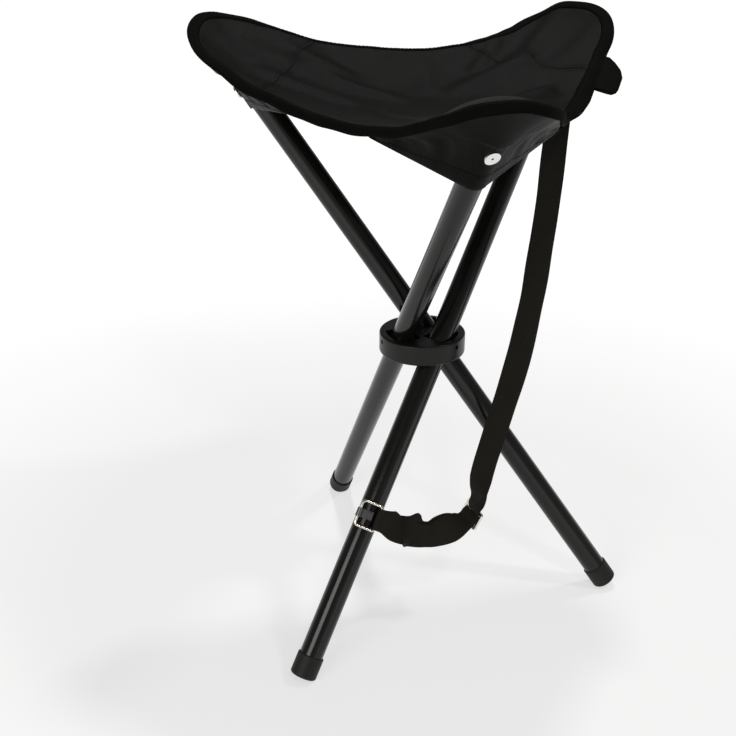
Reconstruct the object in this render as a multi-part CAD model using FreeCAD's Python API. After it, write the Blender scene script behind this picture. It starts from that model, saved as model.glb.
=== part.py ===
import FreeCAD, Part
import math
import os

V = FreeCAD.Vector
UP = V(0, 0, 1)
os.makedirs("parts", exist_ok=True)

# Driving dimensions, in millimetres and degrees
tube_d = 25.0
tube_wall = 1.2
lean = 36.0              # open leg against the vertical
waist_r = 23.2           # leg axis to hub axis, where the legs cross
hub_z = 310.5            # height of the pivot pins above the floor
top_reach = 340.0        # pivot to the top of the end plug, along the leg
foot_reach = 377.0       # pivot to the end of the foot cap, along the leg
pivot_azimuth = {"a": 210.0, "b": 330.0, "c": 90.0}

hub_r = 46.0
hub_wall = 6.8
hub_h = 22.0
hub_drop = 4.0           # the hub's middle below its pins
hub_core_r = 10.3
slot_gap = 0.35          # leg to the slot's stop faces
pin_r = 2.5
pin_inner = 4.0
pin_outer = 43.5
pin_play = 0.05

cap_r = 14.0
cap_len = 24.0
cap_floor = 5.0
plug_head = 4.0
plug_stub = 15.0

lobe_offset = 84.0       # lobe axis, in azimuth ahead of its leg's pivot
lobe_centre_r = 188.0
lobe_tip_r = 56.0
side_sag = 14.0          # how far a side curves in from the lobes' common tangent
cloth = 1.6
seat_low = 549.5         # middle of the seat
rest_run = 196.0         # where the cloth lies on a tube end, along the lobe axis
rest_rise = {"a": 48.5, "b": 34.0, "c": 34.0}
tip_rise = {"a": 48.0, "b": 62.0, "c": 62.0}
far_lift = 28.0          # the far side hangs higher than the other two
far_azimuth = 114.0
binding_w = 12.0
binding_t = 1.0

pocket_t = 1.2
pocket_gap = 1.0
pocket_mouth = {"a": 264.0, "b": 292.0, "c": 296.0}     # pivot to the pocket's mouth, along the leg
rivet_at = {"a": 305.5, "b": 317.0, "c": 317.0}
rivet_head_r = 7.0
rivet_r = 2.0

strap_w = 30.0
strap_t = 1.7
strap_plane = 90.0       # strap's vertical plane, out from the hub axis beside leg b
ring_at = -197.0
ring_turn = 36.0         # round the leg, from its upper side towards its outer side
wire_r = 1.5

R = tube_d / 2


def direction(azimuth):
    return V(math.cos(math.radians(azimuth)), math.sin(math.radians(azimuth)), 0)


def leg_frame(leg):
    """Placement of a leg: origin at its pivot, Z up the leg, X along its pin, Y to its outer side."""
    psi = pivot_azimuth[leg]
    turn = FreeCAD.Rotation(UP, psi).multiply(FreeCAD.Rotation(V(1, 0, 0), -lean))
    return FreeCAD.Placement(direction(psi) * waist_r + UP * hub_z, turn)


def on_leg(shape, leg):
    placed = shape.copy()
    placed.Placement = leg_frame(leg).multiply(placed.Placement)
    return placed


def cylinder(radius, start, end):
    return Part.makeCylinder(radius, (end - start).Length, start, end - start)


def export(shape, node):
    if shape.ShapeType != "Solid" and len(shape.Solids) == 1:
        shape = shape.Solids[0]
    shape.exportStep("parts/" + node + ".step")
    box = shape.optimalBoundingBox()
    print(node, len(shape.Solids), "volume", round(shape.Volume), "z", round(box.ZMin, 2), round(box.ZMax, 2))


def bands(shape, test):
    return [e for e in shape.Edges if test(e)]


def circle_edges(shape, radius, z):
    def test(edge):
        curve = edge.Curve
        if not isinstance(curve, Part.Circle) or abs(curve.Radius - radius) > 0.01:
            return False
        return abs(edge.CenterOfMass.z - z) < 0.01
    return bands(shape, test)


def hub_slot(leg):
    """Room for one leg from open to folded, with flat stop faces."""
    half = (R + slot_gap) / math.cos(math.radians(lean))
    near = R + slot_gap
    slope = math.tan(math.radians(lean))
    high = hub_h / 2 + hub_drop + 1
    knee = (near - half) / slope
    right = [(high * slope + half, high), (near, knee), (near, -high)]
    outline = right + [(-x, -z) for x, z in right]
    wire = Part.makePolygon([V(hub_core_r, x, z) for x, z in outline + outline[:1]])
    prism = Part.Face(wire).extrude(V(hub_r, 0, 0))
    prism.rotate(V(0, 0, 0), UP, pivot_azimuth[leg])
    prism.translate(UP * hub_z)
    room = Part.makeCylinder(hub_r - hub_wall, 2 * high + 2, V(0, 0, hub_z - high - 1))
    return prism.common(room)


def make_hub():
    low = hub_z - hub_drop - hub_h / 2
    hub = Part.makeCylinder(hub_r, hub_h, V(0, 0, low))
    rims = circle_edges(hub, hub_r, low) + circle_edges(hub, hub_r, low + hub_h)
    hub = hub.makeFillet(2.0, rims)
    for leg in pivot_azimuth:
        hub = hub.cut(hub_slot(leg))
    centre = UP * hub_z
    for psi in pivot_azimuth.values():
        way = direction(psi)
        hub = hub.cut(cylinder(pin_r, centre + way * pin_inner, centre + way * (hub_r + 2)))
    return hub


def make_pin(leg):
    way = direction(pivot_azimuth[leg])
    return cylinder(pin_r, UP * hub_z + way * pin_inner, UP * hub_z + way * pin_outer)


def make_tube(leg):
    low = -foot_reach + cap_floor + 0.1
    high = top_reach - plug_head
    tube = cylinder(R, V(0, 0, low), V(0, 0, high))
    tube = tube.cut(cylinder(R - tube_wall, V(0, 0, low - 1), V(0, 0, high + 1)))
    tube = tube.cut(cylinder(pin_r + pin_play, V(-R - 1, 0, 0), V(R + 1, 0, 0)))
    tube = tube.cut(cylinder(rivet_r + 0.1, V(0, 0, rivet_at[leg]), V(0, R + 1, rivet_at[leg])))
    if leg == "b":
        inside = V(0, 0, ring_at)
        tube = tube.cut(cylinder(rivet_r + 0.1, inside, inside + ring_out() * (R + 1)))
    return on_leg(tube, leg)


def make_plug(leg):
    head = cylinder(R, V(0, 0, top_reach - plug_head), V(0, 0, top_reach))
    head = head.makeFillet(1.5, circle_edges(head, R, top_reach))
    neck = top_reach - plug_head
    stub = cylinder(R - tube_wall - 0.05, V(0, 0, neck - plug_stub), V(0, 0, neck))
    return on_leg(head.fuse(stub).removeSplitter(), leg)


def make_cap(leg):
    end = -foot_reach
    cap = cylinder(cap_r, V(0, 0, end), V(0, 0, end + cap_len))
    cap = cap.makeFillet(3.0, circle_edges(cap, cap_r, end))
    cap = cap.makeChamfer(0.8, circle_edges(cap, cap_r, end + cap_len))
    cap = cap.cut(cylinder(R + 0.05, V(0, 0, end + cap_floor), V(0, 0, end + cap_len + 1)))
    below = Part.makeBox(900, 900, 60, V(-450, -450, -60))
    return on_leg(cap, leg).cut(below)


def lobe_way(leg):
    return direction(pivot_azimuth[leg] + lobe_offset)


def lobe_rise(run, leg):
    """Rise of the cloth along a lobe's axis: a parabola to the tube end, then a curve to the tip."""
    if run <= 0:
        return 0.0
    knee = 0.86 * rest_run
    rise = rest_rise[leg] * (min(run, knee) / rest_run) ** 2
    if run <= knee:
        return rise
    span = lobe_centre_r + lobe_tip_r - knee
    part = (run - knee) / span
    slope = 2 * rest_rise[leg] * knee / rest_run ** 2 * span
    bend = tip_rise[leg] - rise - slope
    return rise + slope * part + bend * part ** 2


def seat_height(x, y):
    spot = V(x, y, 0)
    height = seat_low + sum(lobe_rise(spot.dot(lobe_way(leg)), leg) for leg in pivot_azimuth)
    lift = max(0.0, spot.dot(direction(far_azimuth))) / (lobe_centre_r / 2 + lobe_tip_r - side_sag)
    return height + far_lift * lift ** 2


def seat_outline(inset):
    """Plan of the cloth, inset from its edge: lobe arcs joined by hollow side arcs, all tangent."""
    half = lobe_centre_r * math.cos(math.radians(30))
    far = (half ** 2 - side_sag ** 2) / (2 * side_sag)
    tip = lobe_tip_r - inset
    side = far + side_sag - lobe_tip_r + inset
    edges = []
    for leg in pivot_azimuth:
        azimuth = pivot_azimuth[leg] + lobe_offset
        centre = direction(azimuth) * lobe_centre_r
        left_focus = direction(azimuth + 60) * (lobe_centre_r / 2 + far)
        right_focus = direction(azimuth - 60) * (lobe_centre_r / 2 + far)
        start = centre + (right_focus - centre).normalize() * tip
        end = centre + (left_focus - centre).normalize() * tip
        edges.append(Part.Arc(start, centre + direction(azimuth) * tip, end).toShape())
        following = direction(azimuth + 120) * lobe_centre_r
        finish = following + (left_focus - following).normalize() * tip
        edges.append(Part.Arc(end, left_focus - direction(azimuth + 60) * side, finish).toShape())
    return Part.Wire(Part.__sortEdges__(edges))


def seat_layer(low, high):
    """Everything between two heights above the cloth's underside."""
    steps = 22
    reach = 290.0
    grid = []
    for i in range(steps + 1):
        x = -reach + 2 * reach * i / steps
        ys = [-reach + 2 * reach * j / steps for j in range(steps + 1)]
        grid.append([V(x, y, seat_height(x, y) + low) for y in ys])
    surface = Part.BSplineSurface()
    surface.interpolate(grid)
    return surface.toShape().extrude(UP * (high - low))


def column(inset):
    return Part.Face(seat_outline(inset)).extrude(UP * 900)


def make_seat():
    return seat_layer(0, cloth).common(column(0))


def make_binding(panel):
    frame = column(-binding_t).cut(column(binding_w - binding_t))
    return seat_layer(-binding_t, cloth + binding_t).common(frame).cut(panel)


def edge_spot(leg, turn, drop):
    """Point under the binding's middle, at an angle from the lobe's axis."""
    azimuth = pivot_azimuth[leg] + lobe_offset + turn
    ray = Part.makeLine(V(0, 0, 0), direction(azimuth) * 400)
    spot = seat_outline(6.0).distToShape(ray)[1][0][0]
    return V(spot.x, spot.y, seat_height(spot.x, spot.y) - binding_t - drop)


def ruled_solid(rings):
    """Solid of straight-lined patches between matching rings of points, closed by its end rings."""
    faces = []
    for ring, following in zip(rings, rings[1:]):
        for i in range(len(ring)):
            j = (i + 1) % len(ring)
            near, far = Part.makeLine(ring[i], ring[j]), Part.makeLine(following[i], following[j])
            faces.append(Part.makeRuledSurface(near, far))
    for ring in (rings[0], rings[-1]):
        faces.append(Part.Face(Part.makePolygon(ring + ring[:1])))
    shell = Part.makeShell(faces)
    shell.sewShape()
    solid = Part.makeSolid(shell)
    if solid.Volume < 0:
        solid.reverse()
    return solid


def make_pocket(leg):
    """Flap under a lobe: sewn under its edge, open towards the hub, wrapped round the leg's outer side."""
    frame = leg_frame(leg)
    wrap = R + pocket_gap

    def beside(angle, run):
        turn = math.radians(angle)
        return frame.multVec(V(-wrap * math.sin(turn), wrap * math.cos(turn), run))

    lines = []
    for turn in (40, 33, 26, 19, 13, 8, 4, 0, -4, -8, -13, -18, -24, -30, -36):
        high = edge_spot(leg, turn, 2.2)
        wrapped = max(-8, min(8, turn)) * 45.0 / 8
        low, mid = beside(wrapped, pocket_mouth[leg]), beside(wrapped, top_reach + 3)
        reach = 40.0 if turn > 0 else 36.0
        part = max(0.0, (abs(turn) - 8) / (reach - 8))
        corner = edge_spot(leg, reach if turn > 0 else -reach, 9)
        low = low * (1 - part) + corner * part
        mid = mid * (1 - part) + (high * 0.5 + low * 0.5) * part
        lines.append([high, mid, low])
    rings = []
    for i, line in enumerate(lines):
        before, after = lines[max(i - 1, 0)], lines[min(i + 1, len(lines) - 1)]
        outward = (line[0] - line[2]).cross(after[1] - before[1]).normalize() * pocket_t
        rings.append(line + [p + outward for p in reversed(line)])
    flap = ruled_solid(rings)
    hole = cylinder(rivet_r + 0.15, V(0, 0, rivet_at[leg]), V(0, R + 20, rivet_at[leg]))
    return flap.cut(on_leg(hole, leg))


def make_rivet(leg):
    base = R + pocket_gap + pocket_t + 0.15
    run = rivet_at[leg]
    head = cylinder(rivet_head_r, V(0, base, run), V(0, base + 1.6, run))
    shank = cylinder(rivet_r, V(0, R - tube_wall - 3, run), V(0, base, run))
    dimple = cylinder(1.1, V(0, base + 0.6, run), V(0, base + 2, run))
    return on_leg(head.fuse(shank).cut(dimple), leg)


def rounded_path(corners, radii):
    """Straight runs through the corners, joined by tangent arcs."""
    edges = []
    last = corners[0]
    for before, corner, after, radius in zip(corners, corners[1:], corners[2:], radii):
        back, on = (before - corner).normalize(), (after - corner).normalize()
        half = math.acos(max(-1.0, min(1.0, back.dot(on)))) / 2
        run = radius / math.tan(half)
        start, end = corner + back * run, corner + on * run
        centre = corner + (back + on).normalize() * (radius / math.sin(half))
        middle = centre + (corner - centre).normalize() * radius
        edges.append(Part.makeLine(last, start))
        edges.append(Part.Arc(start, middle, end).toShape())
        print("bend radius", radius, "straight before it", round((start - last).Length, 1))
        last = end
    edges.append(Part.makeLine(last, corners[-1]))
    return Part.Wire(edges)


def band(path, start, way, across, width, thick):
    """Flat webbing along a path: across is the direction of its width at the start."""
    face_way = way.cross(across).normalize()
    half = across.normalize() * (width / 2)
    lift = face_way * (thick / 2)
    loop = [start - half - lift, start + half - lift, start + half + lift, start - half + lift]
    profile = Part.makePolygon(loop + loop[:1])
    solid = path.makePipeShell([profile], True, False)
    expected = width * thick * path.Length
    print("band volume", round(solid.Volume), "section x length", round(expected))
    print("band length", round(path.Length, 1))
    return solid


def beside_leg_b(t, z):
    """Point of the strap's plane: t along leg b's side, z above the floor."""
    out = direction(pivot_azimuth["b"])
    return out * strap_plane + direction(pivot_azimuth["b"] + 90) * t + UP * z


strap_corners = [beside_leg_b(96, 557.5), beside_leg_b(86, 430), beside_leg_b(52, 292), beside_leg_b(4, 200),
                 beside_leg_b(-17, 153)]
slider_spot = beside_leg_b(-20, 131)
slack_azimuth = 209.8


def slack_spot(h, z):
    """Point of the slack end's vertical plane: h from the slider towards the ring."""
    return V(slider_spot.x, slider_spot.y, 0) + direction(slack_azimuth) * h + UP * z


def make_strap():
    path = rounded_path(strap_corners, [400, 300, 300])
    way = (strap_corners[1] - strap_corners[0]).normalize()
    return band(path, strap_corners[0], way, direction(pivot_azimuth["b"]), strap_w, strap_t)


def make_slack():
    corners = [slack_spot(16, 128), slack_spot(52, 117), slack_spot(98, 151)]
    path = rounded_path(corners, [55])
    way = (corners[1] - corners[0]).normalize()
    across = way.cross(direction(slack_azimuth + 90))
    return band(path, corners[0], way, across, strap_w, 2 * strap_t)


def make_slider():
    """Flat wire frame with a middle bar, standing across the slack end."""
    wide, tall, thick = 20.0, strap_w + 8, 2.4
    frame = Part.makeBox(wide, thick, tall, V(-wide / 2, -thick / 2, -tall / 2))
    rim = [e for e in frame.Edges if abs(e.tangentAt(e.FirstParameter).y) > 0.9]
    frame = frame.makeFillet(3.0, rim)
    for x in (-6.75, 1.25):
        frame = frame.cut(Part.makeBox(5.5, 6, strap_w + 2, V(x, -3, -strap_w / 2 - 1)))
    frame.rotate(V(0, 0, 0), UP, slack_azimuth)
    frame.translate(slider_spot)
    return frame


def ring_out():
    """Direction, in leg b's frame, in which the ring's saddle sits on the leg."""
    return V(math.sin(math.radians(ring_turn)), -math.cos(math.radians(ring_turn)), 0)


def ring_frame():
    """Placement at the ring's middle: X away from the leg, Z up the leg, Y towards the saddle's free side."""
    local = FreeCAD.Rotation(UP, ring_turn - 90)
    return leg_frame("b").multiply(FreeCAD.Placement(V(0, 0, ring_at), local))


bar_x = R + 3.2
ring_half = 11.0
ring_tall = 27.0


def make_ring():
    """Rectangular wire ring with rounded corners."""
    low, high = -ring_tall / 2, ring_tall / 2
    corners = [V(bar_x, 0, high), V(bar_x, ring_half, high), V(bar_x, ring_half, low),
               V(bar_x, -ring_half, low), V(bar_x, -ring_half, high), V(bar_x, 0, high)]
    path = rounded_path(corners, [4, 4, 4, 4])
    profile = Part.Wire(Part.makeCircle(wire_r, corners[0], V(0, 1, 0)))
    ring = path.makePipeShell([profile], True, False)
    ring.Placement = ring_frame()
    return ring


def make_saddle():
    """Sheet tongue riveted to the leg and curled round the ring's inner bar."""
    plate = Part.makeBox(1.2, ring_half + 4, 9, V(R + 0.2, -ring_half, -4.5))
    curl = cylinder(wire_r + 1.5, V(bar_x, -ring_half, -4.5), V(bar_x, -ring_half, 4.5))
    bar_room = cylinder(wire_r + 0.3, V(bar_x, -ring_half, -6), V(bar_x, -ring_half, 6))
    hole = cylinder(rivet_r + 0.1, V(0, 0, 0), V(R + 5, 0, 0))
    saddle = plate.fuse(curl).cut(bar_room).cut(hole)
    saddle.Placement = ring_frame()
    return saddle


def make_saddle_rivet():
    head = cylinder(3.6, V(R + 1.5, 0, 0), V(R + 2.9, 0, 0))
    shank = cylinder(rivet_r, V(R - tube_wall - 3, 0, 0), V(R + 1.5, 0, 0))
    rivet = head.fuse(shank)
    rivet.Placement = ring_frame()
    return rivet


def make_tab():
    """Folded webbing end that stands out of lobe b's edge."""
    azimuth = pivot_azimuth["b"] + lobe_offset
    ends = []
    for turn in (-14.5, -22.5):
        ray = Part.makeLine(V(0, 0, 0), direction(azimuth + turn) * 400)
        spot = seat_outline(-binding_t - 0.4).distToShape(ray)[1][0][0]
        ends.append(V(spot.x, spot.y, seat_height(spot.x, spot.y)))
    along = (ends[1] - ends[0]).normalize()
    out = direction(azimuth - 45) - UP * 0.25
    out = (out - along * out.dot(along)).normalize()
    thick = along.cross(out).normalize() * (2 * strap_t)
    corners = [(0, 0), (10, 1), (19, 5), (24, 11), (24, 25), (21, 29), (0, 30)]
    loop = [ends[0] + out * x + along * y for x, y in corners]
    return Part.Face(Part.makePolygon(loop + loop[:1])).extrude(thick)


export(make_hub(), "hub_body")
panel = make_seat()
export(panel, "seat_panel")
export(make_binding(panel), "edge_binding")
for leg in pivot_azimuth:
    export(make_pin(leg), "pivot_pin_" + leg)
    export(make_tube(leg), "leg_tube_" + leg)
    export(make_plug(leg), "top_plug_" + leg)
    export(make_cap(leg), "foot_cap_" + leg)
    export(make_pocket(leg), "pocket_" + leg)
    export(make_rivet(leg), "pocket_rivet_" + leg)
export(make_strap(), "strap_upper")
export(make_slack(), "strap_lower")
export(make_slider(), "strap_slider")
export(make_ring(), "strap_ring")
export(make_saddle(), "ring_saddle")
export(make_saddle_rivet(), "saddle_rivet")
export(make_tab(), "strap_tab")
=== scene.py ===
import math

import bpy
import numpy as np
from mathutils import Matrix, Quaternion, Vector


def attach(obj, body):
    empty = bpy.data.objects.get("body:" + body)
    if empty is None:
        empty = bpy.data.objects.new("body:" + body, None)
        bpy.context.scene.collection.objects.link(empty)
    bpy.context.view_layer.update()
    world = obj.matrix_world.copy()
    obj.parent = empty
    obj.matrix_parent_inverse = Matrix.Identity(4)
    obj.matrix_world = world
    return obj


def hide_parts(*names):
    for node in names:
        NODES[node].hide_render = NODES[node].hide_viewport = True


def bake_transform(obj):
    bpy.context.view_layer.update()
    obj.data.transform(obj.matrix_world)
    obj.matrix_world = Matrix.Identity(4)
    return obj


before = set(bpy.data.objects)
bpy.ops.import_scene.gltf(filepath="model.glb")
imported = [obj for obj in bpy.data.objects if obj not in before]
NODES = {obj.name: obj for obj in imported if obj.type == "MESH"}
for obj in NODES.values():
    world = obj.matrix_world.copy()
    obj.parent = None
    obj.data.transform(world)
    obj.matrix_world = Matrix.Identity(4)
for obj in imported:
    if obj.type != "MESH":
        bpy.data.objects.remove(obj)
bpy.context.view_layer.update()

MM = 0.001

# Legs, in millimetres and degrees: azimuth and radius of their pins, lean, and length above the pins
PIVOT = {"a": 210.0, "b": 330.0, "c": 90.0}
WAIST = 23.2
HUB_Z = 310.5
LEAN = math.radians(36.0)
TUBE_R = 12.5
TOP_REACH = 340.0
# Plan of the seat: turn from a leg's pin to its lobe, the lobe's round tip, and the hollow of the sides
LOBE_TURN = 84.0
LOBE_R = 188.0
TIP_R = 56.0
SIDE_SAG = 14.0
# Height of the seat's middle, rise of each lobe at its leg's end and at its tip, and lift of the far side
SEAT_LOW = 551.1
REST_RUN = 196.0
REST_RISE = {"a": 48.5, "b": 34.0, "c": 34.0}
TIP_RISE = {"a": 48.0, "b": 62.0, "c": 62.0}
FAR_LIFT = 28.0
FAR_AZIMUTH = 114.0
# Webbing
STRAP_W = 30.0
STRAP_T = 1.7
# Sewing thread: length, radius and step of its stitches
STITCH_LONG = 3.2
STITCH_R = 0.32
STITCH_STEP = 4.4

# Height of the seat's edge over the plain sling, by azimuth
EDGE_RISE = [(5, -10), (16, -12), (25, -11.5), (31, -6), (40, 1), (46, 1), (51, -4), (56, -6), (60, -4.5),
             (64, -10.5), (68, -9), (72, -5.5), (80, -2), (87, 0.5), (98, 2), (112, 5), (125, 7), (137, 6),
             (146, 4.5), (153, 6.5), (158, 6.5), (163, -2.5), (168, -4.5), (172, -4), (177, -5.5), (185, -1),
             (190, 4.5), (195, 3.5), (205, 6.5), (222, 3.5), (236, 1), (250, -3.5), (261, -7), (269, -12),
             (276, -14), (281, -10.5), (286, -0.5), (292, 4), (296, 3), (300, -2.5), (305, -9), (315, -13),
             (322, -8), (331, -6), (347, -7)]
# How far the edge is drawn out past the plain outline, by azimuth
EDGE_OUT = [(5, 0), (12, 7.5), (20, 9.5), (30, 13), (38, 14), (46, 10.5), (52, 9), (58, 3), (66, 0),
            (356, 0)]
# How far the bound edge curls down from the cloth, by azimuth
EDGE_CURL = [(0, 45), (20, 25), (50, 12), (75, 20), (88, 55), (105, 80), (145, 80), (155, 50), (165, 15),
             (180, 12), (190, 40), (200, 80), (304, 80), (316, 50), (345, 45)]
CURL_R = 4.0
STRIP_W = 11.0
# Extra width of the binding beside the tab, by azimuth
LAP_WIDE = [(0, 0), (8, 3.5), (14, 6), (27, 5.5), (34, 3), (44, 1), (60, 0)]
# Azimuth of the fold between lobes b and c, by radius: it keeps clear of the tubes when the legs close
FOLD_R = [0, 13, 21, 50, 66, 99, 136, 300]
FOLD_AZ = [30, 37, 46, 54, 87, 105, 114, 114]
# Where a closed lobe hangs, beside its leg's pin and ahead of it: over its own leg, outside the next one
STOP_ACROSS = [-125, -110, -70, -30, 0.9, 9.6, 38, 46, 69, 96, 124]
STOP_FORTH = [84, 80, 70, 59, 52, -14.5, -14.5, 0, 0, 26, 55]
# Folds of the stretched cloth: plan of both ends, height and half width
CREASES = [
    ((-222, 52), (-60, 56), 5.2, 11),
    ((-150, 44), (-8, 26), 4.2, 9),
    ((-190, 10), (-40, -14), 3.6, 11),
    ((-60, -4), (18, -132), 3.8, 10),
    ((110, 158), (0, 42), 5.0, 11),
    ((150, 118), (40, 30), -3.6, 12),
    ((58, 178), (30, 96), 3.0, 9),
    ((70, -170), (6, -30), 4.0, 12),
    ((-20, 128), (-6, 40), 2.6, 14),
    ((126, 78), (60, 30), 3.6, 10),
]


def unit(v):
    """Vectors of length one."""
    return v / np.linalg.norm(v, axis=-1, keepdims=True)


def smooth(t):
    """Eased step from 0 to 1."""
    t = np.clip(t, 0.0, 1.0)
    return t * t * (3 - 2 * t)


def way(azimuth):
    """Level direction at an azimuth."""
    a = np.radians(azimuth)
    return np.stack([np.cos(a), np.sin(a), 0 * a], axis=-1)


def leg_axes(leg):
    """Pivot of a leg, and the ways along its pin, to its outer side and up the leg."""
    out, tangent = way(PIVOT[leg]), way(PIVOT[leg] + 90)
    up = np.array([0, 0, math.cos(LEAN)]) + tangent * math.sin(LEAN)
    return out * WAIST + np.array([0, 0, HUB_Z]), out, np.cross(up, out), up


def beside(leg, angle, radius, run):
    """Point beside a leg: angle round it from its outer side, run up it from the pivot."""
    origin, pin, outer, up = leg_axes(leg)
    a = np.radians(angle)[..., None]
    run = np.asarray(run, float)[..., None]
    return origin + (outer * np.cos(a) - pin * np.sin(a)) * radius + up * run


# Seat surface

def by_azimuth(table, spread):
    """Smooth function of azimuth through a short table."""
    grid = np.arange(0, 360, 0.5)
    raw = np.interp(grid, *np.array(table, float).T, period=360)
    window = np.hanning(2 * spread + 3)[1:-1]
    window /= window.sum()
    soft = np.convolve(np.concatenate([raw[-spread:], raw, raw[:spread]]), window, "valid")
    return lambda azimuth: np.interp(azimuth, grid, soft, period=360)


edge_rise = by_azimuth(EDGE_RISE, 6)
edge_out = by_azimuth(EDGE_OUT, 8)
edge_curl = by_azimuth(EDGE_CURL, 12)
lap_wide = by_azimuth(LAP_WIDE, 8)


def outline():
    """Radius of the seat's plan as a function of azimuth: lobe arcs joined by hollow side arcs."""
    half = LOBE_R * math.cos(math.radians(30))
    far = (half ** 2 - SIDE_SAG ** 2) / (2 * SIDE_SAG)
    spots = []
    for psi in PIVOT.values():
        azimuth = psi + LOBE_TURN
        centre = way(azimuth) * LOBE_R
        following = way(azimuth + 120) * LOBE_R
        ahead = way(azimuth + 60) * (LOBE_R / 2 + far)
        behind = way(azimuth - 60) * (LOBE_R / 2 + far)
        tip = (centre, TIP_R, behind - centre, ahead - centre)
        side = (ahead, far + SIDE_SAG - TIP_R, centre - ahead, following - ahead)
        for focus, radius, start, end in (tip, side):
            first = math.degrees(math.atan2(start[1], start[0]))
            turn = math.degrees(math.atan2(end[1], end[0])) - first
            turn = turn % 360 if focus is centre else (turn + 180) % 360 - 180
            spots.append(focus + way(first + turn * np.linspace(0.004, 0.996, 80)) * radius)
    spots = np.concatenate(spots)
    azimuth = np.degrees(np.arctan2(spots[:, 1], spots[:, 0])) % 360
    order = np.argsort(azimuth)
    radius = np.hypot(spots[:, 0], spots[:, 1])
    return lambda a: np.interp(a, azimuth[order], radius[order], period=360)


rim_radius = outline()


def lobe_rise(run, leg):
    """Rise of the cloth along a lobe: a hollow up to its leg's end, then its own slope to the tip."""
    run = np.maximum(run, 0)
    knee = 0.86 * REST_RUN
    first = REST_RISE[leg] * (np.minimum(run, knee) / REST_RUN) ** 2
    span = LOBE_R + TIP_R - knee
    part = (run - knee) / span
    slope = 2 * REST_RISE[leg] * knee / REST_RUN ** 2 * span
    return np.where(run <= knee, first, first + slope * part + (TIP_RISE[leg] - first - slope) * part ** 2)


def crease(x, y, start, end, height, width):
    """Ridge of the cloth along a line, fading at both ends."""
    a, b = np.array(start, float), np.array(end, float)
    along = (b - a) / np.linalg.norm(b - a)
    t = ((x - a[0]) * along[0] + (y - a[1]) * along[1]) / np.linalg.norm(b - a)
    d = (x - a[0]) * along[1] - (y - a[1]) * along[0]
    return height * np.exp(-(d / width) ** 2) * smooth(t * 4) * smooth((1 - t) * 3)


def seat_height(x, y):
    """Height of the cloth over a point of the plan."""
    z = SEAT_LOW + 0 * x
    for leg, psi in PIVOT.items():
        d = way(psi + LOBE_TURN)
        z = z + lobe_rise(x * d[0] + y * d[1], leg)
    d = way(FAR_AZIMUTH)
    lift = np.maximum(0, x * d[0] + y * d[1]) / (LOBE_R / 2 + TIP_R - SIDE_SAG)
    z = z + FAR_LIFT * lift ** 2
    azimuth = np.degrees(np.arctan2(y, x))
    z = z + edge_rise(azimuth) * smooth((np.hypot(x, y) / rim_radius(azimuth) - 0.45) / 0.55)
    for line in CREASES:
        z = z + crease(x, y, *line)
    return z


def seat_point(azimuth, share):
    """Point of the cloth at a share of the outline's radius."""
    spot = way(azimuth) * (rim_radius(azimuth) * share)[..., None]
    spot[..., 2] = seat_height(spot[..., 0], spot[..., 1])
    return spot


def crest_share(azimuth):
    """Share of the outline's radius where the cloth turns down into its bound strip."""
    most = np.radians(edge_curl(azimuth))
    reach = CURL_R * np.sin(most) + (STRIP_W - CURL_R * most) * np.cos(most)
    radius = rim_radius(azimuth)
    slant = (rim_radius(azimuth + 0.5) - rim_radius(azimuth - 0.5)) / math.radians(1.0) / radius
    rise = seat_point(azimuth, np.ones_like(azimuth)) - seat_point(azimuth, np.full_like(azimuth, 0.95))
    level = np.hypot(rise[..., 0], rise[..., 1]) / np.linalg.norm(rise, axis=-1)
    return 1 - (reach * level * np.sqrt(1 + slant ** 2) - edge_out(azimuth)) / radius


def rim_strip(azimuth, run, lift):
    """Points of the bound edge: run down the strip from its crest, lift off the cloth."""
    crest = seat_point(azimuth, crest_share(azimuth))
    ahead, behind = azimuth + 0.5, azimuth - 0.5
    along = unit(seat_point(ahead, crest_share(ahead)) - seat_point(behind, crest_share(behind)))
    out = crest - seat_point(azimuth, crest_share(azimuth) - 0.02)
    out = unit(out - along * (out * along).sum(-1, keepdims=True))
    up = np.cross(out, along)
    most = np.radians(edge_curl(azimuth))
    bend = np.clip(run / CURL_R, 0, most)
    rest = np.where(run > 0, np.maximum(0, run - CURL_R * most), run)
    forth = CURL_R * np.sin(bend) + rest * np.cos(bend)
    down = CURL_R * (1 - np.cos(bend)) + rest * np.sin(bend)
    normal = up * np.cos(bend)[..., None] + out * np.sin(bend)[..., None]
    return crest + out * forth[..., None] - up * down[..., None] + normal * np.asarray(lift)[..., None]


# Folds between the lobes, which split the seat, and each point's share of its leg's turn, which no piece is
# given

def fold_line(leg):
    """Plan of the fold on the far side of a leg's lobe, from the middle to the seat's side."""
    radius = np.concatenate([np.linspace(0, 66, 40), np.linspace(68, 150, 40)])
    turn = PIVOT[leg] - PIVOT["b"]
    return way(np.interp(radius, FOLD_R, FOLD_AZ) + turn)[:, :2] * radius[:, None]


def territory(x, y):
    """Leg whose lobe a point of the seat belongs to: 0, 1, 2 for c, a, b."""
    azimuth = np.degrees(np.arctan2(y, x))
    fold = np.interp(np.hypot(x, y), FOLD_R, FOLD_AZ)
    return (((azimuth - fold) % 360) // 120).astype(int)


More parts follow.
